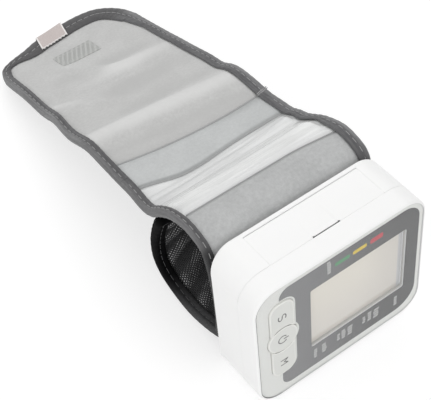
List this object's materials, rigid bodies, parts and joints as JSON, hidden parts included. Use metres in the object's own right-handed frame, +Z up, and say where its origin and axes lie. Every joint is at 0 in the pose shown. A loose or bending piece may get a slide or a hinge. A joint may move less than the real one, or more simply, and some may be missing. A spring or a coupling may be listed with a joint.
{
  "type": "wrist blood pressure monitor",
  "caption": "Wrist blood pressure monitor: a small white case with a display, press keys and a battery door, on a sewn cuff whose strap folds open behind it.",
  "frame": {"origin": "centre of the object's footprint, on the table it stands on", "axes": "+X to the right seen from the display, +Y from the display back along the strap, +Z up"},
  "size_m": [0.072, 0.1908, 0.0629],
  "materials": {
    "white_shell": "white moulded plastic with a fine satin texture",
    "clear_panel": "clear glossy plastic",
    "light_print": "light grey print under the panel",
    "dark_print": "dark grey print under the panel",
    "display": "liquid crystal glass, warm grey",
    "key": "light grey translucent plastic",
    "board": "green circuit board",
    "dark_part": "dark moulded plastic",
    "steel": "plated steel",
    "silicone": "milky silicone tube",
    "cell": "plain dark sleeve, no print",
    "loop_fabric": "light grey brushed loop fabric",
    "film": "glossy grey film with soft streaks",
    "binding": "dark grey woven edge tape with a dashed stitch",
    "black_mesh": "black knitted mesh",
    "tab": "silvery woven tab"
  },
  "bodies": {
    "monitor": {"front_casing": "white_shell", "rear_casing": "white_shell", "casing_screw_lower_left": "steel", "casing_screw_upper_left": "steel", "casing_screw_lower_right": "steel", "casing_screw_upper_right": "steel", "front_panel": "clear_panel", "border_print": "light_print", "mask_print": "dark_print", "display_glass": "display", "display_reflector": "white_shell", "contact_strip_upper": "dark_part", "contact_strip_lower": "dark_part", "main_board": "board", "set_switch": "dark_part", "power_switch": "dark_part", "memory_switch": "dark_part", "battery_upper": "cell", "battery_lower": "cell", "contact_link": "steel", "contact_positive": "steel", "contact_negative": "steel", "pump_motor": "steel", "pump_head": "dark_part", "air_manifold": "dark_part", "exhaust_valve": "dark_part", "pressure_sensor": "dark_part", "buzzer": "dark_part", "pump_tube": "silicone", "valve_tube": "silicone", "sensor_tube": "silicone", "ring_cover": "loop_fabric", "cuff_stiffener": "clear_panel", "film_panel": "film", "air_bladder": "dark_part", "ring_lining": "black_mesh", "mounting_plate": "dark_part", "cuff_nozzle": "dark_part", "ring_binding_left": "binding", "ring_binding_right": "binding"},
    "key_set": {"set_key": "key"},
    "key_power": {"power_key": "key"},
    "key_memory": {"memory_key": "key"},
    "door": {"battery_door": "white_shell"},
    "strap_mid": {"mid_cover": "loop_fabric", "mid_lining": "black_mesh", "mid_binding_left": "binding", "mid_binding_right": "binding"},
    "strap_end": {"end_cover": "loop_fabric", "end_lining": "black_mesh", "end_binding": "binding", "pull_tab": "tab", "ribbed_patch": "loop_fabric", "hook_patch": "black_mesh"},
    "cuff_tail": {"tail_cover": "black_mesh", "tail_lining": "black_mesh", "tail_binding": "black_mesh"}
  },
  "joints": [
    {"name": "set_key_press", "type": "slide", "parent": "monitor", "child": "key_set", "axis": [0, 0.9919, -0.1272], "range_m": [0, 0.0005], "stiffness_N_per_m": 800},
    {"name": "power_key_press", "type": "slide", "parent": "monitor", "child": "key_power", "axis": [0, 0.9919, -0.1272], "range_m": [0, 0.0005], "stiffness_N_per_m": 800},
    {"name": "memory_key_press", "type": "slide", "parent": "monitor", "child": "key_memory", "axis": [0, 0.9919, -0.1272], "range_m": [0, 0.0005], "stiffness_N_per_m": 800},
    {"name": "battery_door_hinge", "type": "hinge", "parent": "monitor", "child": "door", "pos_m": [0.00135, -0.06589, 0.0593], "axis": [-1, 0, 0], "range_deg": [0, 75]},
    {"name": "strap_mid_fold", "type": "hinge", "parent": "monitor", "child": "strap_mid", "pos_m": [0, -0.01819, 0.04005], "axis": [1, 0, 0], "range_deg": [-35, 60]},
    {"name": "strap_end_fold", "type": "hinge", "parent": "strap_mid", "child": "strap_end", "pos_m": [0, -0.00257, 0.03632], "axis": [1, 0, 0], "range_deg": [-60, 60]},
    {"name": "cuff_tail_fold", "type": "hinge", "parent": "monitor", "child": "cuff_tail", "pos_m": [0, -0.06929, 0.01165], "axis": [-1, 0, 0], "range_deg": [0, 60]}
  ]
}
